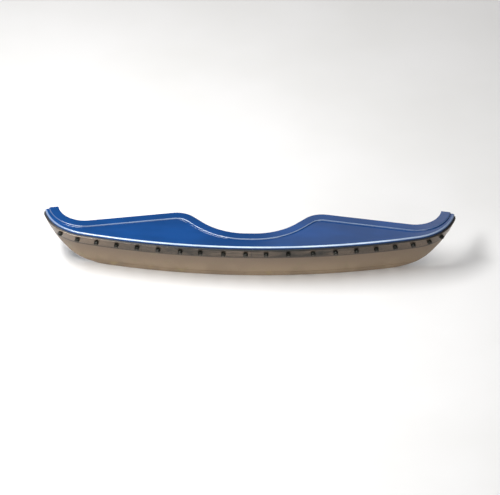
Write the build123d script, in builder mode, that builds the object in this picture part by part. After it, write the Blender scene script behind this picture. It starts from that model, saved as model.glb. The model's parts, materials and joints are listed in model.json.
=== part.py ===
"""Front splash skirt of a ride-on floor-cleaning machine.

A pressed and painted steel panel with a raised mounting flange, a rubber skirt
that hangs from its folded front edge, and the clamp strips, studs, washers and
nuts that hold the skirt on.

Modelling frame: X to the right, Y from front to back, Z up. The panel's front
edge touches Y = 0 at the middle, and its upper face lies at Z = 0. Every
finished piece is then moved so that the origin is the middle of the bottom of
the whole assembly's box.
"""

import os
from math import cos, degrees, radians, sin, tan

from build123d import *

# ---- front edge in plan: one long shallow arc and a tight arc at each end ----
front_radius = 1700.0
corner_radius = 121.0
front_half_angle = 14.0  # where the long arc meets the corner arc
end_angle = 80.0  # where the corner arc stops, measured the same way

# ---- rear edge in plan ----
recess_depth = 52.0  # panel depth behind the middle of the front edge
recess_half_width = 71.0  # to the corner of the wheel recess, before rounding
recess_flank_angle = 44.5
recess_corner_radius = 150.0
lobe_half_spacing = 158.0  # to the peak of each lobe, before rounding
lobe_radius = 58.0
end_run_length = 67.8  # straight part at each end, before rounding
end_band_width = 33.0
end_inner_radius = 66.0

# ---- panel sheet ----
sheet = 2.0
edge_radius = 4.0  # outside of the folded front edge
wall_lean = 21.5  # the wall leans in under the panel
wall_length = 34.0  # down the slope
flange_width = 24.0
flange_rise = 4.0
joggle_width = 3.2
shoulder_radius = 2.2
joggle_foot_radius = 1.4

# ---- skirt ----
skirt_thickness = 4.0
skirt_drop = 114.0  # from the panel's upper face down to the skirt's foot
sweep_up_beyond = 16.0  # outward of the corner arc's centre, where the foot begins to rise
sweep_up_angle = 40.0
sweep_up_radius = 150.0
wear_line_height = 14.0
wear_line_width = 1.6
wear_line_depth = 0.6

# ---- clamp strips ----
strip_thickness = 1.5
strip_width = 27.0
strip_top_gap = 1.0  # from the end of the folded edge, down the slope
strip_end_gap = 6.0
joint_gap = 1.0  # where the two strips meet
joint_offset = 6.0  # the joint is a little to the right of the middle

# ---- skirt fixings: M6 studs, spaced by hand along the front edge ----
fixing_middle = 16.0
fixing_middle_gap = 50.0
fixing_spacings_left = (54, 56, 49, 54, 52, 51, 50, 48, 49)
fixing_spacings_right = (54, 60, 55, 51, 49, 47, 45, 42, 37)
stud_diameter = 6.0
stud_head_diameter = 9.0
stud_head_thickness = 1.2
stud_end = 1.4  # stands out of the nut
hole_clearance = 0.3
washer_diameter = 12.0
washer_thickness = 1.2
nut_across_flats = 10.0
nut_height = 5.0

# ---- panel mounting: M6 weld studs under the flange ----
mount_distances = (72.0, 205.0, 315.0, 425.0, 520.0)  # from the middle, along the rear edge
mount_stud_length = 16.0
host_sheet = 2.0  # the machine's own sheet, which the flange laps over
seal_width = 4.5
seal_thickness = flange_rise - host_sheet
seal_inset = 0.5

# ---- gussets between the wall and the panel ----
gusset_thickness = 2.0
gusset_leg = 17.0
gusset_relief = 5.0
gusset_stop = 2.0  # short of the wall's lower edge


# =====================================================================
# Shared geometry
# =====================================================================

front_centre = Vector(0, front_radius)
corner_x = (front_radius - corner_radius) * sin(radians(front_half_angle))
corner_y = front_radius - (front_radius - corner_radius) * cos(radians(front_half_angle))
left_centre = Vector(-corner_x, corner_y)
right_centre = Vector(corner_x, corner_y)
front_arc_length = front_radius * radians(front_half_angle)
corner_arc_length = corner_radius * radians(end_angle - front_half_angle)
edge_half_length = front_arc_length + corner_arc_length


def outward(angle):
    """Direction in plan that points out of the front edge at this angle."""
    return Vector(sin(radians(angle)), -cos(radians(angle)))


def edge_station(distance):
    """Arc centre, radius and angle at a distance along the edge from the middle."""
    side = 1 if distance > 0 else -1
    beyond = abs(distance) - front_arc_length
    if beyond <= 0:
        return front_centre, front_radius, degrees(distance / front_radius)
    centre = right_centre if side > 0 else left_centre
    return centre, corner_radius, side * (front_half_angle + degrees(beyond / corner_radius))


def edge_runs(start, stop):
    """The arcs (centre, radius, first angle, last angle) between two distances."""
    breaks = [-edge_half_length, -front_arc_length, front_arc_length, edge_half_length]
    runs = []
    for first, last in zip(breaks, breaks[1:]):
        low = max(first, start)
        high = min(last, stop)
        if low < high:
            centre, radius, middle = edge_station((low + high) / 2)
            half = degrees((high - low) / 2 / radius)
            runs.append((centre, radius, middle - half, middle + half))
    return runs


def section_plane(centre, radius, angle):
    """Cross-section of the edge: local X points outward, local Y points up."""
    origin = centre + outward(angle) * radius
    return Plane(origin=origin, x_dir=outward(angle), z_dir=outward(angle).rotate(Axis.Z, -90))


def run_along_edge(draw_section, start=-edge_half_length, stop=edge_half_length):
    """Add the solid that a closed section makes as it follows the front edge."""
    for centre, radius, first, last in edge_runs(start, stop):
        with BuildSketch(section_plane(centre, radius, first)) as section:
            with BuildLine():
                draw_section()
            make_face()
        spindle = Axis((centre.X, centre.Y, 0), (0, 0, 1))
        revolve(section.sketch, axis=spindle, revolution_arc=last - first)


lean = radians(wall_lean)
down_slope = Vector(-sin(lean), -cos(lean))
off_wall = Vector(cos(lean), -sin(lean))
bend_centre = Vector(-edge_radius, -edge_radius)
wall_top = bend_centre + off_wall * edge_radius


def on_wall(slope, stand_off=0.0):
    """Section point, down the slope from the fold and stood off the wall's outside."""
    return wall_top + down_slope * slope + off_wall * stand_off


def wall_plane(distance, slope, stand_off=0.0):
    """Plane square to the wall's outside at a distance along the edge."""
    centre, radius, angle = edge_station(distance)
    section = section_plane(centre, radius, angle)
    point = on_wall(slope, stand_off)
    return Plane(
        origin=section.from_local_coords((point.X, point.Y, 0)),
        x_dir=section.z_dir,
        z_dir=section.x_dir * cos(lean) - section.y_dir * sin(lean),
    )


def spaced_out(first, spacings):
    """Running distances from the first one."""
    distances = [first]
    for spacing in spacings:
        distances.append(distances[-1] + spacing)
    return distances


fixings_left = [-d for d in spaced_out(fixing_middle_gap / 2 - fixing_middle, fixing_spacings_left)]
fixings_right = spaced_out(fixing_middle_gap / 2 + fixing_middle, fixing_spacings_right)
fixings = sorted(fixings_left + fixings_right)
fixing_slope = strip_top_gap + strip_width / 2


def fixing_planes(stand_off):
    """A plane at each skirt fixing, stood off the wall's outside."""
    return [wall_plane(d, fixing_slope, stand_off) for d in fixings]


# Rear edge corner points, right half, before rounding.
recess_corner = Vector(recess_half_width, recess_depth)
lobe_corner = recess_corner + Vector(1, tan(radians(recess_flank_angle))) * (
    lobe_half_spacing - recess_half_width
)
end_inner = right_centre + outward(end_angle) * (corner_radius - end_band_width)
end_direction = Vector(cos(radians(end_angle)), sin(radians(end_angle)))
end_corner = end_inner - end_direction * end_run_length
end_beyond = end_inner + end_direction * 60

rear_points = [end_beyond, end_corner, lobe_corner, recess_corner]
rear_radii = [end_inner_radius, lobe_radius, recess_corner_radius]


def rear_line():
    """The rear edge from left to right, run on past both ends."""
    left = [(-p.X, p.Y) for p in rear_points]
    right = [(p.X, p.Y) for p in reversed(rear_points)]
    return FilletPolyline(*left, *right, radius=rear_radii + rear_radii[::-1])


# Everything behind the rear edge, as one big face.
with BuildSketch() as behind_panel:
    with BuildLine():
        rear_edge = rear_line()
        far = end_beyond.Y + 100
        Polyline(rear_edge @ 1, (end_beyond.X, far), (-end_beyond.X, far), rear_edge @ 0)
    make_face()


def flat_outline(edge_inset):
    """Face between the front edge, inset this far, and the rear edge."""
    with BuildSketch() as outline:
        with BuildLine():
            arcs = []
            for centre, radius, first, last in edge_runs(-edge_half_length, edge_half_length):
                arcs.append(
                    CenterArc((centre.X, centre.Y), radius - edge_inset, first - 90, last - first)
                )
            back = end_inner + end_direction * 20
            Polyline(
                arcs[-1] @ 1,
                (end_inner.X, end_inner.Y),
                (end_inner.X - 80, back.Y + 60),
                (80 - end_inner.X, back.Y + 60),
                (-end_inner.X, end_inner.Y),
                arcs[0] @ 0,
            )
        make_face()
        add(behind_panel.sketch, mode=Mode.SUBTRACT)
    return outline.sketch


def rear_zone(width):
    """Everything up to this far in front of the rear edge."""
    with BuildSketch() as zone:
        add(behind_panel.sketch)
        if width > 0:
            offset(amount=width)
    return zone.sketch


def rear_band(near, far_side):
    """The part of the flat panel between two distances from the rear edge."""
    with BuildSketch() as band:
        add(panel_flat)
        add(rear_zone(far_side), mode=Mode.INTERSECT)
        add(rear_zone(near), mode=Mode.SUBTRACT)
    return band.sketch


panel_flat = flat_outline(edge_radius)


# =====================================================================
# Pressed panel
# =====================================================================


def fold_section():
    """The folded front edge and the wall that leans in below it."""
    outside = CenterArc(bend_centre, edge_radius, 90, -(90 + wall_lean))
    inside = CenterArc(bend_centre, edge_radius - sheet, 90, -(90 + wall_lean))
    Line(outside @ 0, inside @ 0)
    Polyline(outside @ 1, on_wall(wall_length), on_wall(wall_length, -sheet), inside @ 1)


joggle_line = rear_zone(flange_width).wire()


def joggle_edges(edges, height):
    """The edges at this height that run along the front of the raised flange."""
    level = edges.filter_by_position(Axis.Z, height - 0.01, height + 0.01)
    found = []
    for edge in level:
        middle = edge @ 0.5
        if joggle_line.distance_to(Vertex(middle.X, middle.Y, 0)) < 0.01:
            found.append(edge)
    return found


with BuildPart() as top_panel:
    with BuildSketch(Plane.XY.offset(-sheet)):
        add(panel_flat)
        add(rear_zone(flange_width), mode=Mode.SUBTRACT)
    extrude(amount=sheet)
    run_along_edge(fold_section)
    with BuildSketch(Plane.XY.offset(-sheet)):
        add(rear_band(flange_width - joggle_width, flange_width))
    extrude(amount=sheet + flange_rise)
    with BuildSketch(Plane.XY.offset(flange_rise - sheet)):
        add(rear_band(0, flange_width - joggle_width))
    extrude(amount=sheet)
    fillet(joggle_edges(top_panel.edges(), flange_rise), radius=shoulder_radius)
    fillet(joggle_edges(top_panel.edges(), 0), radius=joggle_foot_radius)
    with Locations(*fixing_planes(-sheet)):
        Hole(radius=stud_diameter / 2, depth=2 * sheet)

top_panel.part.label = "top_panel"


# =====================================================================
# Skirt and clamp strips
# =====================================================================

skirt_foot = -skirt_drop
strip_outside = skirt_thickness + strip_thickness


def at_height(height, stand_off):
    """Section point at a height, stood off the wall's outside."""
    start = on_wall(0, stand_off)
    return start + down_slope * ((start.Y - height) / cos(lean))


def skirt_section():
    """A leaning sheet with a level foot and a shallow line just above it."""
    line_top = at_height(skirt_foot + wear_line_height + wear_line_width, skirt_thickness)
    line_foot = at_height(skirt_foot + wear_line_height, skirt_thickness)
    Polyline(
        on_wall(strip_top_gap),
        on_wall(strip_top_gap, skirt_thickness),
        line_top,
        line_top - off_wall * wear_line_depth,
        line_foot - off_wall * wear_line_depth,
        line_foot,
        at_height(skirt_foot, skirt_thickness),
        at_height(skirt_foot, 0),
        close=True,
    )


sweep_up_start = corner_x + sweep_up_beyond

with BuildPart() as skirt:
    run_along_edge(skirt_section)
    # The foot sweeps up at both ends.
    with BuildSketch(Plane.XZ):
        with BuildLine():
            beyond = sweep_up_start + skirt_drop / tan(radians(sweep_up_angle))
            foot = FilletPolyline(
                (0, skirt_foot),
                (sweep_up_start, skirt_foot),
                (beyond, 0),
                radius=sweep_up_radius,
            )
            Polyline(foot @ 1, (beyond, skirt_foot - 10), (0, skirt_foot - 10), foot @ 0)
        make_face()
        mirror(about=Plane.YZ)
    extrude(amount=2 * front_radius, both=True, mode=Mode.SUBTRACT)
    with Locations(*fixing_planes(-sheet)):
        Hole(radius=stud_diameter / 2 + hole_clearance, depth=2 * strip_outside)
skirt.part.label = "skirt"


def strip_section():
    """Flat bar laid on the skirt."""
    Polyline(
        on_wall(strip_top_gap, skirt_thickness),
        on_wall(strip_top_gap, strip_outside),
        on_wall(strip_top_gap + strip_width, strip_outside),
        on_wall(strip_top_gap + strip_width, skirt_thickness),
        close=True,
    )


def clamp_strip(start, stop):
    """One length of clamp strip between two distances along the edge."""
    with BuildPart() as strip:
        run_along_edge(strip_section, start, stop)
        with Locations(*fixing_planes(-sheet)):
            Hole(radius=stud_diameter / 2 + hole_clearance, depth=2 * strip_outside)
    return strip.part


strip_reach = edge_half_length - strip_end_gap
clamp_strip_left = clamp_strip(-strip_reach, joint_offset - joint_gap / 2)
clamp_strip_left.label = "clamp_strip_left"
clamp_strip_right = clamp_strip(joint_offset + joint_gap / 2, strip_reach)
clamp_strip_right.label = "clamp_strip_right"


# =====================================================================
# Skirt fixings
# =====================================================================

nut_seat = strip_outside + washer_thickness
# The flat head clears the hollow side of the curved wall.
head_gap = 0.05 + stud_head_diameter**2 / (8 * (corner_radius - sheet))
stud_length = head_gap + sheet + nut_seat + nut_height + stud_end
from_base = (Align.CENTER, Align.CENTER, Align.MIN)

with BuildPart() as skirt_studs:
    with Locations(*fixing_planes(-sheet - head_gap)):
        Cylinder(stud_diameter / 2, stud_length, align=from_base)
    with Locations(*fixing_planes(-sheet - head_gap - stud_head_thickness)):
        Cylinder(stud_head_diameter / 2, stud_head_thickness, align=from_base)
skirt_studs.part.label = "skirt_studs"

with BuildPart() as skirt_washers:
    with BuildSketch(*fixing_planes(strip_outside)):
        Circle(washer_diameter / 2)
        Circle(stud_diameter / 2 + hole_clearance, mode=Mode.SUBTRACT)
    extrude(amount=washer_thickness)
skirt_washers.part.label = "skirt_washers"

with BuildPart() as skirt_nuts:
    with BuildSketch(*fixing_planes(nut_seat)):
        RegularPolygon(nut_across_flats / 2, 6, major_radius=False)
        Circle(stud_diameter / 2, mode=Mode.SUBTRACT)
    extrude(amount=nut_height)
skirt_nuts.part.label = "skirt_nuts"


# =====================================================================
# Panel mounting
# =====================================================================

flange_underside = flange_rise - sheet
rear_middle = rear_edge.length / 2


def mount_planes(height):
    """A plane facing down at each mounting stud, on the middle of the flange."""
    planes = []
    for distance in mount_distances:
        for side in (-1, 1):
            along = (rear_middle + side * distance) / rear_edge.length
            forward = (rear_edge % along).rotate(Axis.Z, -90)
            point = rear_edge @ along + forward * (flange_width / 2)
            planes.append(
                Plane(origin=(point.X, point.Y, height), x_dir=(1, 0, 0), z_dir=(0, 0, -1))
            )
    return planes


with BuildPart() as mount_studs:
    with Locations(*mount_planes(flange_underside)):
        Cylinder(stud_diameter / 2, mount_stud_length, align=from_base)
mount_studs.part.label = "mount_studs"

with BuildPart() as flange_seal:
    with BuildSketch(Plane.XY.offset(flange_underside - seal_thickness)):
        add(rear_band(seal_inset, seal_inset + seal_width))
    extrude(amount=seal_thickness)
flange_seal.part.label = "flange_seal"


# =====================================================================
# Gussets
# =====================================================================


def gusset_section():
    """Web plate between the panel's underside and the inside of the wall."""
    corner = -edge_radius - gusset_relief
    Polyline(
        (corner, -sheet),
        on_wall(gusset_relief, -sheet),
        on_wall(wall_length - gusset_stop, -sheet),
        (corner - gusset_leg, -sheet),
        close=True,
    )


def gusset(distance, label):
    """One gusset at a distance along the edge."""
    with BuildPart() as web:
        half = gusset_thickness / 2
        run_along_edge(gusset_section, distance - half, distance + half)
    web.part.label = label
    return web.part


# One gusset stands midway between every other pair of fixings.
gusset_distances = [(a + b) / 2 for a, b in zip(fixings[1::2], fixings[2::2])]
middle = len(gusset_distances) // 2
gussets = []
for count, distance in enumerate(gusset_distances):
    label = "gusset_middle"
    if count < middle:
        label = f"gusset_left_{middle - count}"
    if count > middle:
        label = f"gusset_right_{count - middle}"
    gussets.append(gusset(distance, label))


# =====================================================================
# Placing and writing
# =====================================================================

pieces = [
    top_panel.part,
    skirt.part,
    clamp_strip_left,
    clamp_strip_right,
    skirt_studs.part,
    skirt_washers.part,
    skirt_nuts.part,
    mount_studs.part,
    flange_seal.part,
    *gussets,
]
whole = Compound(pieces).bounding_box()
to_origin = Location((-whole.center().X, -whole.center().Y, -whole.min.Z))
os.makedirs("parts", exist_ok=True)
for piece in pieces:
    placed = piece.moved(to_origin)
    placed.label = piece.label
    export_step(placed, f"parts/{piece.label}.step")
    print(piece.label, len(piece.solids()), round(piece.volume))
print("size", whole.size, "moved by", to_origin.position)
for plane in mount_planes(flange_underside):
    print("mounting stud", (to_origin * Location(plane.origin)).position)
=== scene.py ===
import json
import math

import bmesh
import bpy
from mathutils import Matrix, Vector


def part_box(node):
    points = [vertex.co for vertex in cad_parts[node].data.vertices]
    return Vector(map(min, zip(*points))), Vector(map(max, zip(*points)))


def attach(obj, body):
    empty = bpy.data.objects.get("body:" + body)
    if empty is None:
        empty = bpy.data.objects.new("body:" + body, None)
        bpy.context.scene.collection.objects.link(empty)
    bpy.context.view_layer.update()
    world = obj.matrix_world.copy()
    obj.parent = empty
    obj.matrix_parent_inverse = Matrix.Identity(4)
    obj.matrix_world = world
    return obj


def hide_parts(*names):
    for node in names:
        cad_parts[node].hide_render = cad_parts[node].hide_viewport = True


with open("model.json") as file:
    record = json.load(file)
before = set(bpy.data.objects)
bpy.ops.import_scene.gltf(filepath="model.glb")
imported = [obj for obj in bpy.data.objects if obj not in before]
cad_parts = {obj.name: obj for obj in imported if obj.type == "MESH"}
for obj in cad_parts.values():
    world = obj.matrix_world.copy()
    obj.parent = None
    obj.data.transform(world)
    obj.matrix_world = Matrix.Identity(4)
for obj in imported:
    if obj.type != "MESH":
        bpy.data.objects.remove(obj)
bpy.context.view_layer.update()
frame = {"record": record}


# ----------------------------------------------------------------------------
# Top panel. One 2 mm steel pressing: a folded front edge with a wall that leans
# in below it, a flat deck, and a raised flange along the rear edge. Sprayed
# with blue gloss enamel and baked.
# ----------------------------------------------------------------------------
MM = 0.001
sheet = 2.0 * MM
edge_radius = 4.0 * MM
wall_lean = math.radians(21.5)
wall_length = 34.0 * MM
flange_rise = 4.0 * MM
flange_width = 24.0 * MM
cut_edge_rounding = 0.4 * MM

front_radius = 1700 * MM
corner_radius = 121 * MM
front_half_angle = math.radians(14)
end_angle = math.radians(80)
corner_angle = end_angle - front_half_angle
front_arc_length = front_radius * front_half_angle
edge_half_length = front_arc_length + corner_radius * corner_angle
edge_step = 6 * MM

# The deck's upper face and the middle of its front edge, from the frame.
deck_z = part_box("top_panel")[1].z - flange_rise
front_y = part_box("top_panel")[0].y

front_centre = Vector((0, front_y + front_radius, deck_z))
corner_reach = front_radius - corner_radius
corner_centre = front_centre + Vector(
    (corner_reach * math.sin(front_half_angle), -corner_reach * math.cos(front_half_angle), 0)
)


def mirrored(point):
    """The same point on the other side of the middle."""
    return Vector((-point.x, point.y, point.z))


def outward(angle):
    """Level direction out of the front edge, at an angle from straight ahead."""
    return Vector((math.sin(angle), -math.cos(angle), 0))


def edge_station(distance):
    """Arc centre, radius and angle at a distance along the front edge."""
    beyond = abs(distance) - front_arc_length
    if beyond <= 0:
        return front_centre, front_radius, distance / front_radius
    side = math.copysign(1, distance)
    centre = corner_centre if side > 0 else mirrored(corner_centre)
    return centre, corner_radius, side * (front_half_angle + beyond / corner_radius)


def edge_route(start, stop, step):
    """Turns that follow the front edge: centre, angle and number of steps."""
    breaks = [-edge_half_length, -front_arc_length, front_arc_length, edge_half_length]
    route = []
    for first, last in zip(breaks, breaks[1:]):
        low = max(first, start)
        high = min(last, stop)
        if low < high:
            centre, radius, _ = edge_station((low + high) / 2)
            route.append((centre, (high - low) / radius, max(1, round((high - low) / step))))
    return route


def section_point(distance, out, up):
    """Point on the cross-section at a distance along the front edge."""
    centre, radius, angle = edge_station(distance)
    return centre + outward(angle) * (radius + out) + Vector((0, 0, up))


def chain(bm, points):
    """A row of edges through the points."""
    verts = [bm.verts.new(p) for p in points]
    return [bm.edges.new(pair) for pair in zip(verts, verts[1:])]


def only_edges(geometry):
    """The edges among some bmesh geometry."""
    return [g for g in geometry if isinstance(g, bmesh.types.BMEdge)]


def follow(bm, edges, route):
    """Draws a row of edges along turns (centre, angle, steps) and straights (move)."""
    geom = list({v for e in edges for v in e.verts}) + edges
    for leg in route:
        if isinstance(leg, Vector):
            drawn = bmesh.ops.extrude_edge_only(bm, edges=only_edges(geom))["geom"]
            moved = [g for g in drawn if isinstance(g, bmesh.types.BMVert)]
            bmesh.ops.translate(bm, verts=moved, vec=leg)
            geom = moved + only_edges(drawn)
        else:
            centre, angle, steps = leg
            spun = bmesh.ops.spin(
                bm, geom=geom, cent=centre, axis=(0, 0, 1), angle=angle, steps=steps, dvec=(0, 0, 0)
            )
            geom = spun["geom_last"]
    return geom


wall_top_out = -edge_radius + edge_radius * math.cos(wall_lean)
wall_top_up = -edge_radius - edge_radius * math.sin(wall_lean)


def on_wall(slope, stand_off=0.0):
    """Cross-section place: down the slope from the fold, stood off the wall's outside."""
    out = wall_top_out - slope * math.sin(wall_lean) + stand_off * math.cos(wall_lean)
    up = wall_top_up - slope * math.cos(wall_lean) - stand_off * math.sin(wall_lean)
    return out, up


# Rear edge: straight runs between rounded corners, right half, from the end in.
recess_half_width = 71 * MM
recess_depth = 52 * MM
recess_flank_angle = math.radians(44.5)
recess_radius = 150 * MM
lobe_half_spacing = 158 * MM
lobe_radius = 58 * MM
end_run_length = 67.8 * MM
end_band = 33 * MM
end_corner_radius = 66 * MM
rear_step = 4 * MM
recess_corner = Vector((recess_half_width, front_y + recess_depth, deck_z))
flank_way = Vector((1, math.tan(recess_flank_angle), 0))
lobe_corner = recess_corner + flank_way * (lobe_half_spacing - recess_half_width)
end_inner = corner_centre + outward(end_angle) * (corner_radius - end_band)
end_way = Vector((math.cos(end_angle), math.sin(end_angle), 0))
end_corner = end_inner - end_way * end_run_length


def rounded_route(points, radii, spacing):
    """Straights and turns through rounded corners."""
    route = []
    here = points[0]
    for before, corner, after, radius in zip(points, points[1:], points[2:], radii):
        way_in = (corner - before).normalized()
        way_out = (after - corner).normalized()
        turn = math.atan2(way_in.cross(way_out).z, way_in.dot(way_out))
        trim = radius * math.tan(abs(turn) / 2)
        start = corner - way_in * trim
        if (start - here).length > 0.001 * MM:
            route.append(start - here)
        side = Vector((-way_in.y, way_in.x, 0)) * math.copysign(radius, turn)
        route.append((start + side, turn, max(6, round(abs(turn) * radius / spacing))))
        here = corner + way_out * trim
    route.append(points[-1] - here)
    return route


rear_right = [end_inner, end_corner, lobe_corner, recess_corner]
rear_points = [mirrored(p) for p in rear_right] + rear_right[::-1]
rear_radii = [end_corner_radius, lobe_radius, recess_radius]
rear_route = rounded_route(rear_points, rear_radii + rear_radii[::-1], rear_step)


def arc_points(centre, radius, first, last, steps):
    """Places (across, up) round an arc, angles in degrees."""
    places = []
    for i in range(steps + 1):
        a = math.radians(first + (last - first) * i / steps)
        places.append((centre[0] + radius * math.cos(a), centre[1] + radius * math.sin(a)))
    return places


def new_piece(name, bm, material):
    """A smooth-shaded mesh object from a bmesh, in the scene."""
    mesh = bpy.data.meshes.new(name)
    bm.to_mesh(mesh)
    bm.free()
    mesh.shade_smooth()
    piece = bpy.data.objects.new(name, mesh)
    bpy.context.scene.collection.objects.link(piece)
    piece.data.materials.append(material)
    return piece


def linear(hex_colour):
    """sRGB hex to linear RGBA."""
    values = []
    for i in (0, 2, 4):
        c = int(hex_colour[i : i + 2], 16) / 255
        values.append(c / 12.92 if c <= 0.04045 else ((c + 0.055) / 1.055) ** 2.4)
    return (*values, 1.0)


def set_inputs(material, node, inputs):
    """Links a node's inputs to sockets, or sets them to plain values and hex colours."""
    for key, value in inputs.items():
        if isinstance(value, bpy.types.NodeSocket):
            material.node_tree.links.new(value, node.inputs[key])
        elif isinstance(value, str):
            node.inputs[key].default_value = linear(value)
        else:
            node.inputs[key].default_value = value


def add_node(material, kind, inputs, output=0, **settings):
    """Adds a node with its settings, values and links, and gives one of its outputs."""
    node = material.node_tree.nodes.new(kind)
    for key, value in settings.items():
        setattr(node, key, value)
    set_inputs(material, node, inputs)
    return node.outputs[output]


def new_material(name):
    """A node material and its Principled shader."""
    material = bpy.data.materials.new(name)
    material.use_nodes = True
    return material, material.node_tree.nodes["Principled BSDF"]


def mottle(material, size, stretch=(1, 1, 1), detail=3.0):
    """Cloudy pattern, its patches this many metres across and longer where stretch is under 1."""
    coords = add_node(material, "ShaderNodeTexCoord", {}, "Object")
    place = add_node(material, "ShaderNodeMapping", {"Vector": coords, "Scale": stretch})
    return add_node(
        material, "ShaderNodeTexNoise", {"Vector": place, "Scale": 1 / size, "Detail": detail}
    )


def shade(material, low, high, pattern, start, stop, least=0.0, most=1.0):
    """Colour that turns from low to high as a pattern's value goes from start to stop."""
    share = add_node(
        material,
        "ShaderNodeMapRange",
        {"Value": pattern, "From Min": start, "From Max": stop, "To Min": least, "To Max": most},
        interpolation_type="SMOOTHSTEP",
    )
    return add_node(material, "ShaderNodeMix", {0: share, 6: low, 7: high}, 2, data_type="RGBA")


# Baked gloss enamel: a deep blue under a clear, slightly rippled skin, with
# polishing streaks along the length. On the crown of the fold and the flange's
# shoulder it is painted pale blue-white in patches: a painted highlight for the
# overhead light's reflection.
def gloss_enamel():
    material, shader = new_material("blue_gloss_enamel")
    cloud = mottle(material, 90 * MM, (0.5, 1, 1))
    coat = shade(material, "063b73", "0a4484", cloud, 0.35, 0.65)
    # Painted highlight: the mesh attribute read here turns the blue pale blue-white along the fold
    # and shoulder.
    painted_highlight_parts = add_node(material, "ShaderNodeAttribute", {}, "Fac", attribute_name="painted_highlight")
    highlight_breakup = add_node(
        material,
        "ShaderNodeMapRange",
        {
            "Value": mottle(material, 25 * MM, (0.3, 1, 1), 2.0),
            "From Min": 0.25,
            "From Max": 0.6,
            "To Min": 0.75,
            "To Max": 1.0,
        },
        interpolation_type="SMOOTHSTEP",
    )
    highlight_share = add_node(material, "ShaderNodeMath", {0: painted_highlight_parts, 1: highlight_breakup}, operation="MULTIPLY")
    tint = add_node(material, "ShaderNodeMix", {0: highlight_share, 6: coat, 7: "cfe3f8"}, 2, data_type="RGBA")
    rough = add_node(
        material,
        "ShaderNodeMapRange",
        {
            "Value": mottle(material, 9 * MM, (0.08, 1, 1), 4.0),
            "From Min": 0.4,
            "From Max": 0.7,
            "To Min": 0.12,
            "To Max": 0.24,
        },
        interpolation_type="SMOOTHSTEP",
    )
    peel = add_node(
        material,
        "ShaderNodeBump",
        {"Height": mottle(material, 2.2 * MM, detail=1.0), "Distance": 0.02 * MM, "Strength": 0.4},
    )
    ripple = add_node(
        material,
        "ShaderNodeBump",
        {
            "Height": mottle(material, 70 * MM, detail=1.0),
            "Distance": 0.4 * MM,
            "Strength": 0.3,
            "Normal": peel,
        },
    )
    set_inputs(
        material,
        shader,
        {
            "Base Color": tint,
            "Roughness": rough,
            "IOR": 1.5,
            "Coat Weight": 0.35,
            "Coat Roughness": 0.08,
            "Normal": ripple,
        },
    )
    return material


enamel = gloss_enamel()

# How strong the painted highlight is, from 0 to 1: most on the crown of the fold,
# less on the flange's shoulder, and less again towards both ends.
fold_highlight_angles = (4, 62)  # degrees round the fold from the deck
shoulder_highlight = 0.4
shoulder_highlight_heights = (0.6, 0.97)  # as shares of the flange's rise
highlight_fades_from = 270 * MM
highlight_fade_length = 230 * MM
highlight_lost_at_ends = 0.7

panel = bmesh.new()
painted_highlight = panel.verts.layers.float.new("painted_highlight")
fold = arc_points((-edge_radius, -edge_radius), edge_radius, -math.degrees(wall_lean), 90, 12)
fold_profile = [on_wall(wall_length)] + fold
front_rows = chain(panel, [section_point(-edge_half_length, out, up) for out, up in fold_profile])
# Painted highlight on the crown of the fold.
for vert, (out, up) in zip(panel.verts, fold_profile):
    round_fold = math.degrees(math.atan2(out + edge_radius, up + edge_radius))
    vert[painted_highlight] = 1.0 if fold_highlight_angles[0] < round_fold < fold_highlight_angles[1] else 0.0
follow(panel, front_rows, edge_route(-edge_half_length, edge_half_length, edge_step))

# Flange section, measured forward from the rear edge: foot, slope, shoulder, flat.
shoulder_radius = 3.2 * MM
foot_radius = 2.2 * MM
foot_forward = 1.6 * MM  # the foot's curve runs this far on to the deck
slope_angle = 62
turned = math.radians(slope_angle)
foot_across = flange_width + foot_forward
foot = arc_points((foot_across, foot_radius), foot_radius, -90, -90 - slope_angle, 6)
slope_rise = flange_rise - shoulder_radius * (1 - math.cos(turned)) - foot[-1][1]
shoulder_across = foot[-1][0] - slope_rise / math.tan(turned) - shoulder_radius * math.sin(turned)
shoulder_centre = (shoulder_across, flange_rise - shoulder_radius)
shoulder = arc_points(shoulder_centre, shoulder_radius, 90 - slope_angle, 90, 8)
flange_profile = foot + shoulder + [(0.0, flange_rise)]
end_left = mirrored(end_inner)
forward = outward(-end_angle)


def behind_end(across, up):
    """Point on the flange's cross-section at the left end of the rear edge."""
    return end_left + forward * across + Vector((0, 0, up))


rear_rows = chain(panel, [behind_end(across, up) for across, up in flange_profile])
# Weaker painted highlight on the flange's shoulder.
for vert in {v for edge in rear_rows for v in edge.verts}:
    share = (vert.co.z - deck_z) / flange_rise
    vert[painted_highlight] = shoulder_highlight if shoulder_highlight_heights[0] < share < shoulder_highlight_heights[1] else 0.0
follow(panel, rear_rows, rear_route)
bmesh.ops.remove_doubles(panel, verts=panel.verts, dist=0.01 * MM)

# The deck closes the gap between the fold and the flange's foot.
for side in (-1, 1):
    lip = section_point(side * edge_half_length, -edge_radius, 0)
    foot_end = (end_left if side < 0 else end_inner) + outward(side * end_angle) * foot_across
    nearest = [min(panel.verts, key=lambda v: (v.co - p).length) for p in (lip, foot_end)]
    panel.edges.new(nearest)
# The painted highlight fades towards both ends.
for vert in panel.verts:
    fade = max(0.0, abs(vert.co.x) - highlight_fades_from) / highlight_fade_length
    vert[painted_highlight] *= 1 - highlight_lost_at_ends * min(1.0, fade)
on_deck = {v for v in panel.verts if abs(v.co.z - deck_z) < 0.01 * MM}
rim = [e for e in panel.edges if len(e.link_faces) < 2 and on_deck.issuperset(e.verts)]
bmesh.ops.triangle_fill(panel, use_beauty=True, use_dissolve=False, edges=rim)
bmesh.ops.recalc_face_normals(panel, faces=panel.faces)
top_panel = new_piece("top_panel_shell", panel, enamel)
thickness = top_panel.modifiers.new("sheet", "SOLIDIFY")
thickness.thickness = sheet
thickness.offset = -1


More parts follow.
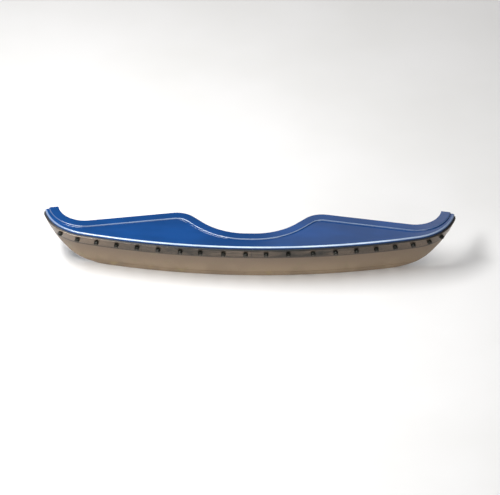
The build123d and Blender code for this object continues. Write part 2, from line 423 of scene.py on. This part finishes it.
def rounded(piece, width, limit=30):
    """Rounds a piece's edges sharper than a limit in degrees, and keeps its flats flat."""
    bevel = piece.modifiers.new("rounded_edges", "BEVEL")
    bevel.width = width
    bevel.segments = 2
    bevel.limit_method = "ANGLE"
    bevel.angle_limit = math.radians(limit)
    flats = piece.modifiers.new("flats", "WEIGHTED_NORMAL")
    flats.keep_sharp = True


def settle(piece, node):
    """The piece stands for its CAD node, which is hidden; the piece joins the root body."""
    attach(piece, "root")
    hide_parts(node)


rounded(top_panel, cut_edge_rounding, 50)
settle(top_panel, "top_panel")


# ----------------------------------------------------------------------------
# Splash skirt. One moulded length of tan gum rubber, 4 mm thick, hung down the
# outside of the wall. Its foot is trimmed to sweep up at both ends, and a wear
# line is moulded just above the foot.
# ----------------------------------------------------------------------------
skirt_thickness = 4.0 * MM
skirt_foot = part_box("skirt")[0].z
strip_top_gap = 1.0 * MM
strip_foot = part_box("clamp_strip_left")[0].z
foot_rounding = 0.7 * MM
wear_line_height = 14.0 * MM
wear_line_width = 1.6 * MM
wear_line_depth = 0.6 * MM
sweep_up_start = 398.0 * MM
sweep_up_angle = math.radians(40)
sweep_up_radius = 150.0 * MM
skirt_step = 4 * MM


def at_height(height, stand_off):
    """Cross-section place at a height above the floor, stood off the wall."""
    top = on_wall(0, stand_off)[1] + deck_z
    return on_wall((top - height) / math.cos(wall_lean), stand_off)


# Gum rubber: coarse crumb and flow marks streaked down the drop, paler towards the
# foot and darker towards the top, olive mottling, pale scuffs near the foot, and
# painted shade along the strip: a dark band just below it stands for the strip's
# shadow, and a dark top edge for the shade under the fold.
def gum_rubber():
    material, shader = new_material("tan_gum_rubber")
    coords = add_node(material, "ShaderNodeTexCoord", {}, "Object")
    height = add_node(material, "ShaderNodeSeparateXYZ", {"Vector": coords}, "Z")
    # Lighter towards the foot and darker towards the top.
    tint = shade(material, "a28d74", "766452", height, 4 * MM, 75 * MM)
    cloud = add_node(
        material,
        "ShaderNodeMapRange",
        {"Value": mottle(material, 60 * MM, (1, 1, 0.5)), "From Min": 0.3, "From Max": 0.7},
        interpolation_type="SMOOTHSTEP",
    )
    tint = shade(material, "7d6b58", tint, cloud, 0.0, 1.0, 0.55, 1.0)
    crumb = mottle(material, 1.6 * MM, (1, 1, 1), 4.0)
    tint = shade(material, tint, "5d4c3e", crumb, 0.62, 0.75, 0.0, 0.35)
    olive = mottle(material, 18 * MM, (1, 1, 0.6), 2.0)
    tint = shade(material, tint, "7f7a58", olive, 0.55, 0.75, 0.0, 0.3)
    scuffs = add_node(
        material,
        "ShaderNodeMapRange",
        {
            "Value": mottle(material, 35 * MM, (1, 1, 0.4), 2.0),
            "From Min": 0.58,
            "From Max": 0.72,
            "To Max": 0.5,
        },
        interpolation_type="SMOOTHSTEP",
    )
    low_down = add_node(
        material,
        "ShaderNodeMapRange",
        {"Value": height, "From Min": 12 * MM, "From Max": 22 * MM, "To Min": 1.0, "To Max": 0.0},
        interpolation_type="SMOOTHSTEP",
    )
    near_foot = add_node(material, "ShaderNodeMath", {0: scuffs, 1: low_down}, operation="MULTIPLY")
    tint = add_node(
        material, "ShaderNodeMix", {0: near_foot, 6: tint, 7: "b39f74"}, 2, data_type="RGBA"
    )
    # Painted shadow: a dark band on the rubber just below the clamp strip's foot.
    strip_shadow_foot = strip_foot - 7 * MM
    tint = shade(material, tint, "2e2823", height, strip_shadow_foot, strip_shadow_foot + 2.5 * MM, 0.0, 0.85)
    # Painted shade: nearly black from the strip's foot up, over the top edge under the fold.
    tint = shade(material, tint, "26282b", height, strip_foot, strip_foot + 2 * MM)
    rough = add_node(
        material,
        "ShaderNodeMapRange",
        {"Value": crumb, "From Min": 0.3, "From Max": 0.7, "To Min": 0.42, "To Max": 0.6},
        interpolation_type="SMOOTHSTEP",
    )
    grain = add_node(
        material, "ShaderNodeBump", {"Height": crumb, "Distance": 0.12 * MM, "Strength": 0.6}
    )
    waves = add_node(
        material,
        "ShaderNodeBump",
        {
            "Height": mottle(material, 45 * MM, (1, 1, 0.4), 1.0),
            "Distance": 1.5 * MM,
            "Strength": 0.5,
            "Normal": grain,
        },
    )
    set_inputs(
        material, shader, {"Base Color": tint, "Roughness": rough, "IOR": 1.52, "Normal": waves}
    )
    return material


rubber = gum_rubber()


def sweep_section(bm, first_verts, start, stop, step):
    """Draws a closed section along the front edge and closes both ends."""
    first_end = bm.faces.new(first_verts)
    last = follow(bm, list(first_end.edges), edge_route(start, stop, step))
    bmesh.ops.contextual_create(bm, geom=only_edges(last))
    bmesh.ops.remove_doubles(bm, verts=bm.verts, dist=0.001 * MM)


line_foot = skirt_foot + wear_line_height
line_top = line_foot + wear_line_width
line_floor = [
    at_height(line_top, skirt_thickness - wear_line_depth),
    at_height(line_foot, skirt_thickness - wear_line_depth),
]
skirt_profile = [
    on_wall(strip_top_gap, 0),
    on_wall(strip_top_gap, skirt_thickness),
    at_height(line_top, skirt_thickness),
    *line_floor,
    at_height(line_foot, skirt_thickness),
    at_height(skirt_foot, skirt_thickness),
    at_height(skirt_foot, 0),
]
foot_tangent = sweep_up_radius * math.tan(sweep_up_angle / 2)
foot_arc_reach = sweep_up_radius * math.sin(sweep_up_angle)


def foot_height(across):
    """Height of the trimmed foot at a distance to either side of the middle."""
    beyond = abs(across) - (sweep_up_start - foot_tangent)
    if beyond <= 0:
        return skirt_foot
    if beyond < foot_arc_reach:
        return skirt_foot + sweep_up_radius - math.sqrt(sweep_up_radius**2 - beyond**2)
    return skirt_foot + (abs(across) - sweep_up_start) * math.tan(sweep_up_angle)


def wall_directions(point):
    """Directions up the leaning wall and square out of it, at a point on it."""
    centre = front_centre
    if math.atan2(abs(point.x), front_centre.y - point.y) > front_half_angle:
        centre = corner_centre if point.x > 0 else mirrored(corner_centre)
    away = Vector((point.x - centre.x, point.y - centre.y, 0)).normalized()
    lift = Vector((0, 0, 1))
    up_wall = away * math.sin(wall_lean) + lift * math.cos(wall_lean)
    off_wall = away * math.cos(wall_lean) - lift * math.sin(wall_lean)
    return up_wall, off_wall


strip_of_rubber = bmesh.new()
inset = strip_of_rubber.verts.layers.float.new("inset")
skirt_verts = []
for out, up in skirt_profile:
    vert = strip_of_rubber.verts.new(section_point(-edge_half_length, out, up))
    vert[inset] = wear_line_depth if (out, up) in line_floor else 0.0
    skirt_verts.append(vert)
sweep_section(strip_of_rubber, skirt_verts, -edge_half_length, edge_half_length, skirt_step)

# What hangs below the trimmed foot comes up the wall to it. The foot's height
# changes as a point slides round the corner, so it slides in a few goes.
for vert in strip_of_rubber.verts:
    if vert.co.z < foot_height(vert.co.x):
        vert.co += wall_directions(vert.co)[1] * vert[inset]
        for _ in range(6):
            rise = foot_height(vert.co.x) - vert.co.z
            vert.co += wall_directions(vert.co)[0] * (rise / math.cos(wall_lean))
bmesh.ops.remove_doubles(strip_of_rubber, verts=strip_of_rubber.verts, dist=0.05 * MM)
bmesh.ops.dissolve_degenerate(strip_of_rubber, edges=strip_of_rubber.edges, dist=0.02 * MM)
bmesh.ops.recalc_face_normals(strip_of_rubber, faces=strip_of_rubber.faces)
skirt = new_piece("skirt_rubber_strip", strip_of_rubber, rubber)
rounded(skirt, foot_rounding)
settle(skirt, "skirt")


# ----------------------------------------------------------------------------
# Clamp strips. Two lengths of 27 x 1.5 mm rolled stainless bar, bent round the
# corners and butted a little to the right of the middle. They press the skirt
# on to the wall.
# ----------------------------------------------------------------------------
strip_thickness = 1.5 * MM
strip_width = 27.0 * MM
strip_rounding = 0.35 * MM
strip_end_gap = 6.0 * MM
joint_gap = 1.0 * MM
joint_offset = 6.0 * MM
strip_outside = skirt_thickness + strip_thickness


# Rolled stainless: rolling lines along the bar blur what it mirrors, the hand
# bending leaves it slightly wavy, and a tan tint towards both ends is a painted
# reflection of tan surroundings.
def rolled_stainless():
    material, shader = new_material("rolled_stainless_steel")
    lines = mottle(material, 1.2 * MM, (0.02, 1, 1))
    cloud = mottle(material, 50 * MM, (0.4, 1, 1))
    tint = shade(material, "3f3e3b", "75695d", cloud, 0.35, 0.62)
    tint = shade(material, "3f3c3a", tint, lines, 0.3, 0.6)
    coords = add_node(material, "ShaderNodeTexCoord", {}, "Object")
    across = add_node(material, "ShaderNodeSeparateXYZ", {"Vector": coords}, "X")
    from_middle = add_node(material, "ShaderNodeMath", {0: across}, operation="ABSOLUTE")
    # Painted reflection: the bar turns tan towards both ends.
    tint = shade(material, tint, "817366", from_middle, 160 * MM, 440 * MM, 0.0, 0.7)
    rough = add_node(
        material,
        "ShaderNodeMapRange",
        {"Value": lines, "From Min": 0.3, "From Max": 0.7, "To Min": 0.26, "To Max": 0.42},
        interpolation_type="SMOOTHSTEP",
    )
    scored = add_node(
        material, "ShaderNodeBump", {"Height": lines, "Distance": 0.04 * MM, "Strength": 0.5}
    )
    bent = add_node(
        material,
        "ShaderNodeBump",
        {
            "Height": mottle(material, 38 * MM, detail=1.0),
            "Distance": 1.6 * MM,
            "Strength": 0.7,
            "Normal": scored,
        },
    )
    set_inputs(
        material, shader, {"Base Color": tint, "Metallic": 1.0, "Roughness": rough, "Normal": bent}
    )
    return material


def edge_run(name, section, material, start, stop):
    """A closed section as a piece that follows the front edge."""
    bm = bmesh.new()
    verts = [bm.verts.new(section_point(start, out, up)) for out, up in section]
    sweep_section(bm, verts, start, stop, edge_step)
    bmesh.ops.recalc_face_normals(bm, faces=bm.faces)
    return new_piece(name, bm, material)


stainless = rolled_stainless()
strip_profile = [
    on_wall(strip_top_gap, skirt_thickness),
    on_wall(strip_top_gap, strip_outside),
    on_wall(strip_top_gap + strip_width, strip_outside),
    on_wall(strip_top_gap + strip_width, skirt_thickness),
]
strip_reach = edge_half_length - strip_end_gap
strip_lengths = {
    "left": (-strip_reach, joint_offset - joint_gap / 2),
    "right": (joint_offset + joint_gap / 2, strip_reach),
}
for side, (start, stop) in strip_lengths.items():
    strip = edge_run(f"clamp_strip_{side}_bar", strip_profile, stainless, start, stop)
    rounded(strip, strip_rounding)
    settle(strip, f"clamp_strip_{side}")


# ----------------------------------------------------------------------------
# Skirt studs. M6 zinc-plated studs with a flat head, pushed through the wall
# from behind. Only the last of the thread stands out of each nut.
# ----------------------------------------------------------------------------
fixing_middle = 16 * MM
fixing_middle_gap = 50 * MM
fixing_spacings = {  # in millimetres, from the middle out to each side
    -1: (54, 56, 49, 54, 52, 51, 50, 48, 49),
    1: (54, 60, 55, 51, 49, 47, 45, 42, 37),
}
fixing_slope = strip_top_gap + strip_width / 2
stud_radius = 3.0 * MM
stud_head_radius = 4.5 * MM
stud_head_thickness = 1.2 * MM
stud_head_gap = 0.1 * MM
stud_end = 1.4 * MM
thread_pitch = 1.0 * MM
thread_depth = 0.55 * MM
thread_run_out = 0.6 * MM
head_chamfer = 0.25 * MM
tip_chamfer = 0.5 * MM
washer_thickness = 1.2 * MM
nut_height = 5.0 * MM
nut_seat = strip_outside + washer_thickness
nut_top = nut_seat + nut_height

fixings = []
for side, spacings in fixing_spacings.items():
    distance = side * fixing_middle_gap / 2 + fixing_middle
    fixings.append(distance)
    for spacing in spacings:
        distance += side * spacing * MM
        fixings.append(distance)
fixings.sort()


def wall_place(distance, stand_off, turn=0.0):
    """Matrix that stands a piece on the wall, its Z square to the wall's outside."""
    out = outward(edge_station(distance)[2])
    along = Vector((0, 0, 1)).cross(out)
    normal = out * math.cos(wall_lean) - Vector((0, 0, math.sin(wall_lean)))
    across = normal.cross(along)
    point = section_point(distance, *on_wall(fixing_slope, stand_off))
    basis = Matrix((along, across, normal)).transposed().to_4x4()
    return Matrix.Translation(point) @ basis @ Matrix.Rotation(turn, 4, "Z")


def turned_ring(bm, profile, steps=24):
    """A full turn of a profile (radius, height) round Z."""
    edges = chain(bm, [(radius, 0, height) for radius, height in profile])
    verts = list({v for e in edges for v in e.verts})
    bmesh.ops.spin(
        bm,
        geom=verts + edges,
        cent=(0, 0, 0),
        axis=(0, 0, 1),
        angle=math.tau,
        steps=steps,
        dvec=(0, 0, 0),
        use_merge=True,
    )


def set_out(name, shape, places, material):
    """The same shape at every place, as one piece."""
    bm = bmesh.new()
    for place in places:
        before = set(bm.verts)
        shape(bm)
        fresh = [v for v in bm.verts if v not in before]
        bmesh.ops.remove_doubles(bm, verts=fresh, dist=0.001 * MM)
        fresh = [v for v in bm.verts if v not in before]
        bmesh.ops.transform(bm, matrix=place, verts=fresh)
    bmesh.ops.recalc_face_normals(bm, faces=bm.faces)
    piece = new_piece(name, bm, material)
    piece.data.set_sharp_from_angle(angle=math.radians(35))
    return piece


# Dulled zinc plate: a grey metal gone cloudy and brownish, with a soft sheen.
def dulled_zinc():
    material, shader = new_material("dulled_zinc_plate")
    cloud = mottle(material, 3 * MM)
    rough = add_node(
        material,
        "ShaderNodeMapRange",
        {"Value": cloud, "From Min": 0.3, "From Max": 0.7, "To Min": 0.35, "To Max": 0.5},
        interpolation_type="SMOOTHSTEP",
    )
    tint = shade(material, "45413c", "65605a", cloud, 0.3, 0.7)
    set_inputs(material, shader, {"Base Color": tint, "Metallic": 1.0, "Roughness": rough})
    return material


zinc = dulled_zinc()


def thread_profile(first, last, radius):
    """Crests and roots of a thread between two heights."""
    places = []
    for turn in range(int((last - first) / thread_pitch)):
        crest = first + (turn + 0.25) * thread_pitch
        places += [(radius, crest), (radius - thread_depth, crest + thread_pitch / 2)]
    return places


stud_foot = -sheet - stud_head_gap
stud_tip = nut_top + stud_end


def stud(bm):
    """Flat head, plain shank, threaded end and chamfered tip."""
    head_foot = stud_foot - stud_head_thickness
    thread_start = nut_top - thread_pitch
    turned_ring(
        bm,
        [
            (0, head_foot),
            (stud_head_radius - head_chamfer, head_foot),
            (stud_head_radius, head_foot + head_chamfer),
            (stud_head_radius, stud_foot),
            (stud_radius, stud_foot),
            (stud_radius, thread_start),
            *thread_profile(thread_start, stud_tip - thread_run_out, stud_radius),
            (stud_radius, stud_tip - tip_chamfer),
            (stud_radius - tip_chamfer, stud_tip),
            (0, stud_tip),
        ],
    )


studs = set_out("skirt_studs_m6", stud, [wall_place(d, 0) for d in fixings], zinc)
settle(studs, "skirt_studs")


# ----------------------------------------------------------------------------
# Skirt washers and nuts. Stamped M6 washers and 10 mm hexagon nuts, chemically
# blacked. Each nut stops at its own angle when it is tight.
# ----------------------------------------------------------------------------
washer_radius = 6.0 * MM
washer_hole = stud_radius + 0.3 * MM
washer_rounding = 0.3 * MM
nut_across_flats = 10.0 * MM
nut_chamfer = 1.1 * MM
nut_turn = math.radians(137.5)  # from one nut to the next, so that no two line up


# Black oxide: nearly black steel with a faint brown cast and an oily sheen.
def black_oxide():
    material, shader = new_material("black_oxide_steel")
    cloud = mottle(material, 2.5 * MM, detail=4.0)
    rough = add_node(
        material,
        "ShaderNodeMapRange",
        {"Value": cloud, "From Min": 0.3, "From Max": 0.7, "To Min": 0.32, "To Max": 0.5},
        interpolation_type="SMOOTHSTEP",
    )
    tint = shade(material, "191a17", "34342e", cloud, 0.35, 0.7)
    set_inputs(material, shader, {"Base Color": tint, "Metallic": 0.7, "Roughness": rough})
    return material


blacked = black_oxide()


def washer(bm):
    """Flat ring with a rounded outer edge on its upper face."""
    turned_ring(
        bm,
        [
            (washer_hole, 0),
            (washer_radius, 0),
            (washer_radius, washer_thickness - washer_rounding),
            (washer_radius - washer_rounding, washer_thickness),
            (washer_hole, washer_thickness),
            (washer_hole, 0),
        ],
        32,
    )


def nut(bm):
    """Hexagon with its upper corners turned off. The stud fills its bore."""
    across_corners = nut_across_flats / math.cos(math.pi / 6)
    hexagon = bmesh.ops.create_cone(
        bm,
        cap_ends=True,
        segments=6,
        radius1=across_corners / 2,
        radius2=across_corners / 2,
        depth=nut_height,
        matrix=Matrix.Translation((0, 0, nut_height / 2)),
    )
    bmesh.ops.bevel(
        bm,
        geom=[v for v in hexagon["verts"] if v.co.z > nut_height / 2],
        offset=nut_chamfer,
        offset_type="OFFSET",
        affect="VERTICES",
        segments=3,
        profile=0.5,
        material=-1,
    )


washer_places = [wall_place(d, strip_outside) for d in fixings]
washers = set_out("skirt_washers_m6", washer, washer_places, blacked)
settle(washers, "skirt_washers")
nut_places = [wall_place(d, nut_seat, i * nut_turn) for i, d in enumerate(fixings)]
nuts = set_out("skirt_nuts_m6", nut, nut_places, blacked)
settle(nuts, "skirt_nuts")


# ----------------------------------------------------------------------------
# Mounting studs. Zinc-plated M6 weld studs under the raised flange, which fix
# the panel to the machine.
# ----------------------------------------------------------------------------
mount_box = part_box("mount_studs")
mount_length = mount_box[1].z - mount_box[0].z
plain_root = 1.5 * MM
mount_chamfer = 0.6 * MM


def weld_stud(bm):
    """Plain root, then thread down to a chamfered tip."""
    turned_ring(
        bm,
        [
            (0, 0),
            (stud_radius, 0),
            (stud_radius, plain_root),
            *thread_profile(plain_root, mount_length - thread_pitch, stud_radius),
            (stud_radius, mount_length - mount_chamfer),
            (stud_radius - mount_chamfer, mount_length),
            (0, mount_length),
        ],
    )


mount_places = []
for mount in frame["record"]["mounts"]:
    across = mount["dims"]["pcd_mm"] / 2 * MM
    for side in (-1, 1):
        foot = Vector((side * across, mount["pos_m"][1], mount_box[1].z))
        mount_places.append(Matrix.Translation(foot) @ Matrix.Rotation(math.pi, 4, "X"))
weld_studs = set_out("mounting_studs_m6", weld_stud, mount_places, zinc)
settle(weld_studs, "mount_studs")


# ----------------------------------------------------------------------------
# Flange seal. A 4.5 mm bead of closed-cell foam stuck under the rear edge of the
# flange, squeezed against the machine's own sheet.
# ----------------------------------------------------------------------------
seal_width = 4.5 * MM
seal_inset = 0.5 * MM
seal_rounding = 0.5 * MM
seal_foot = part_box("flange_seal")[0].z - deck_z
seal_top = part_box("flange_seal")[1].z - deck_z


# Closed-cell foam: charcoal, quite matt, with a fine pitted skin.
def closed_cell_foam():
    material, shader = new_material("closed_cell_foam")
    pits = mottle(material, 0.8 * MM, detail=2.0)
    tint = shade(material, "1c1c1c", "303030", pits, 0.35, 0.65)
    pitted = add_node(
        material, "ShaderNodeBump", {"Height": pits, "Distance": 0.15 * MM, "Strength": 0.7}
    )
    set_inputs(material, shader, {"Base Color": tint, "Roughness": 0.9, "Normal": pitted})
    return material


bead = bmesh.new()
bead_corners = [
    (seal_inset, seal_foot),
    (seal_inset + seal_width, seal_foot),
    (seal_inset + seal_width, seal_top),
    (seal_inset, seal_top),
]
bead_end = bead.faces.new([bead.verts.new(behind_end(across, up)) for across, up in bead_corners])
bead_far_end = follow(bead, list(bead_end.edges), rear_route)
bmesh.ops.contextual_create(bead, geom=only_edges(bead_far_end))
bmesh.ops.recalc_face_normals(bead, faces=bead.faces)
seal = new_piece("flange_seal_bead", bead, closed_cell_foam())
rounded(seal, seal_rounding)
settle(seal, "flange_seal")


# ----------------------------------------------------------------------------
# Gussets. Triangular webs of 2 mm plate welded between the wall and the deck,
# one midway between every other pair of studs, painted with the panel.
# ----------------------------------------------------------------------------
gusset_thickness = 2.0 * MM
gusset_leg = 17.0 * MM
gusset_relief = 5.0 * MM
gusset_stop = 2.0 * MM
gusset_rounding = 0.25 * MM

gusset_corner = -edge_radius - gusset_relief
gusset_profile = [
    (gusset_corner, -sheet),
    on_wall(gusset_relief, -sheet),
    on_wall(wall_length - gusset_stop, -sheet),
    (gusset_corner - gusset_leg, -sheet),
]
gusset_distances = [(a + b) / 2 for a, b in zip(fixings[1::2], fixings[2::2])]
middle_count = len(gusset_distances) // 2
for count, distance in enumerate(gusset_distances):
    node = "gusset_middle"
    if count < middle_count:
        node = f"gusset_left_{middle_count - count}"
    if count > middle_count:
        node = f"gusset_right_{count - middle_count}"
    start = distance - gusset_thickness / 2
    web = edge_run(f"{node}_web", gusset_profile, enamel, start, start + gusset_thickness)
    rounded(web, gusset_rounding)
    settle(web, node)


# ----------------------------------------------------------------------------
# Floor, light and camera. A pale matt floor, a long softbox overhead, weaker ones
# from the front and the right, and two cards behind that grey the panel's right.
# ----------------------------------------------------------------------------
floor_half_width = 12


# Matt studio vinyl: almost white and barely clouded, so it shows only shadow.
def studio_vinyl():
    material, shader = new_material("pale_matt_floor")
    cloud = mottle(material, 400 * MM)
    tint = shade(material, "f1f0ee", "f6f5f4", cloud, 0.3, 0.7)
    set_inputs(material, shader, {"Base Color": tint, "Roughness": 0.9})
    return material


floor_sheet = bmesh.new()
bmesh.ops.create_grid(floor_sheet, x_segments=1, y_segments=1, size=floor_half_width)
floor = new_piece("floor", floor_sheet, studio_vinyl())


def softbox(name, place, aim, size, radiance, tint="ffffff"):
    """A rectangular light that the camera can't see, aimed at a point. Sizes in metres."""
    data = bpy.data.lights.new(name, "AREA")
    data.shape = "RECTANGLE"
    data.size = size[0]
    data.size_y = size[1]
    data.energy = radiance * math.pi * size[0] * size[1]
    data.color = linear(tint)[:3]
    light = bpy.data.objects.new(name, data)
    bpy.context.scene.collection.objects.link(light)
    light.location = place
    light.rotation_euler = (Vector(aim) - Vector(place)).to_track_quat("-Z", "Y").to_euler()
    light.visible_camera = False


aim = Vector((0, front_y, deck_z))
softbox("overhead_strip", (-0.95, -0.25, 1.75), aim, (1.9, 0.4), 22)
softbox("front_fill", (0.6, -3.5, 1.2), aim, (4.0, 1.6), 1.8)
softbox("right_top", (1.5, -0.6, 3.2), aim, (1.6, 1.2), 2.2)
softbox("back_card_wide", (0.85, 2.7, 2.15), (0.5, 0, deck_z), (1.6, 1.6), 0.45, "fff6ea")
softbox("back_card_end", (1.1, 2.75, 2.2), (0.6, 0, deck_z), (1.1, 1.6), 0.6, "fff6ea")

world = bpy.data.worlds.new("studio")
world.use_nodes = True
sky = world.node_tree.nodes["Background"]
sky.inputs["Color"].default_value = linear("f4f6fa")
sky.inputs["Strength"].default_value = 0.16
bpy.context.scene.world = world
bpy.context.scene.view_settings.view_transform = "Standard"

elevation = math.radians(37)
roll = math.radians(0.7)
view_width = 1.21
view_right = 1.5 * MM
camera_data = bpy.data.cameras.new("camera")
camera_data.lens = 300
camera_data.sensor_width = 36
camera_data.clip_end = 100
camera = bpy.data.objects.new("camera", camera_data)
bpy.context.scene.collection.objects.link(camera)
back = Vector((0, -math.cos(elevation), math.sin(elevation)))
camera_distance = view_width * camera_data.lens / camera_data.sensor_width
camera.matrix_world = (
    Matrix.Translation(aim + Vector((view_right, 0, 0)) + back * camera_distance)
    @ (-back).to_track_quat("-Z", "Y").to_matrix().to_4x4()
    @ Matrix.Rotation(roll, 4, "Z")
)
bpy.context.scene.camera = camera
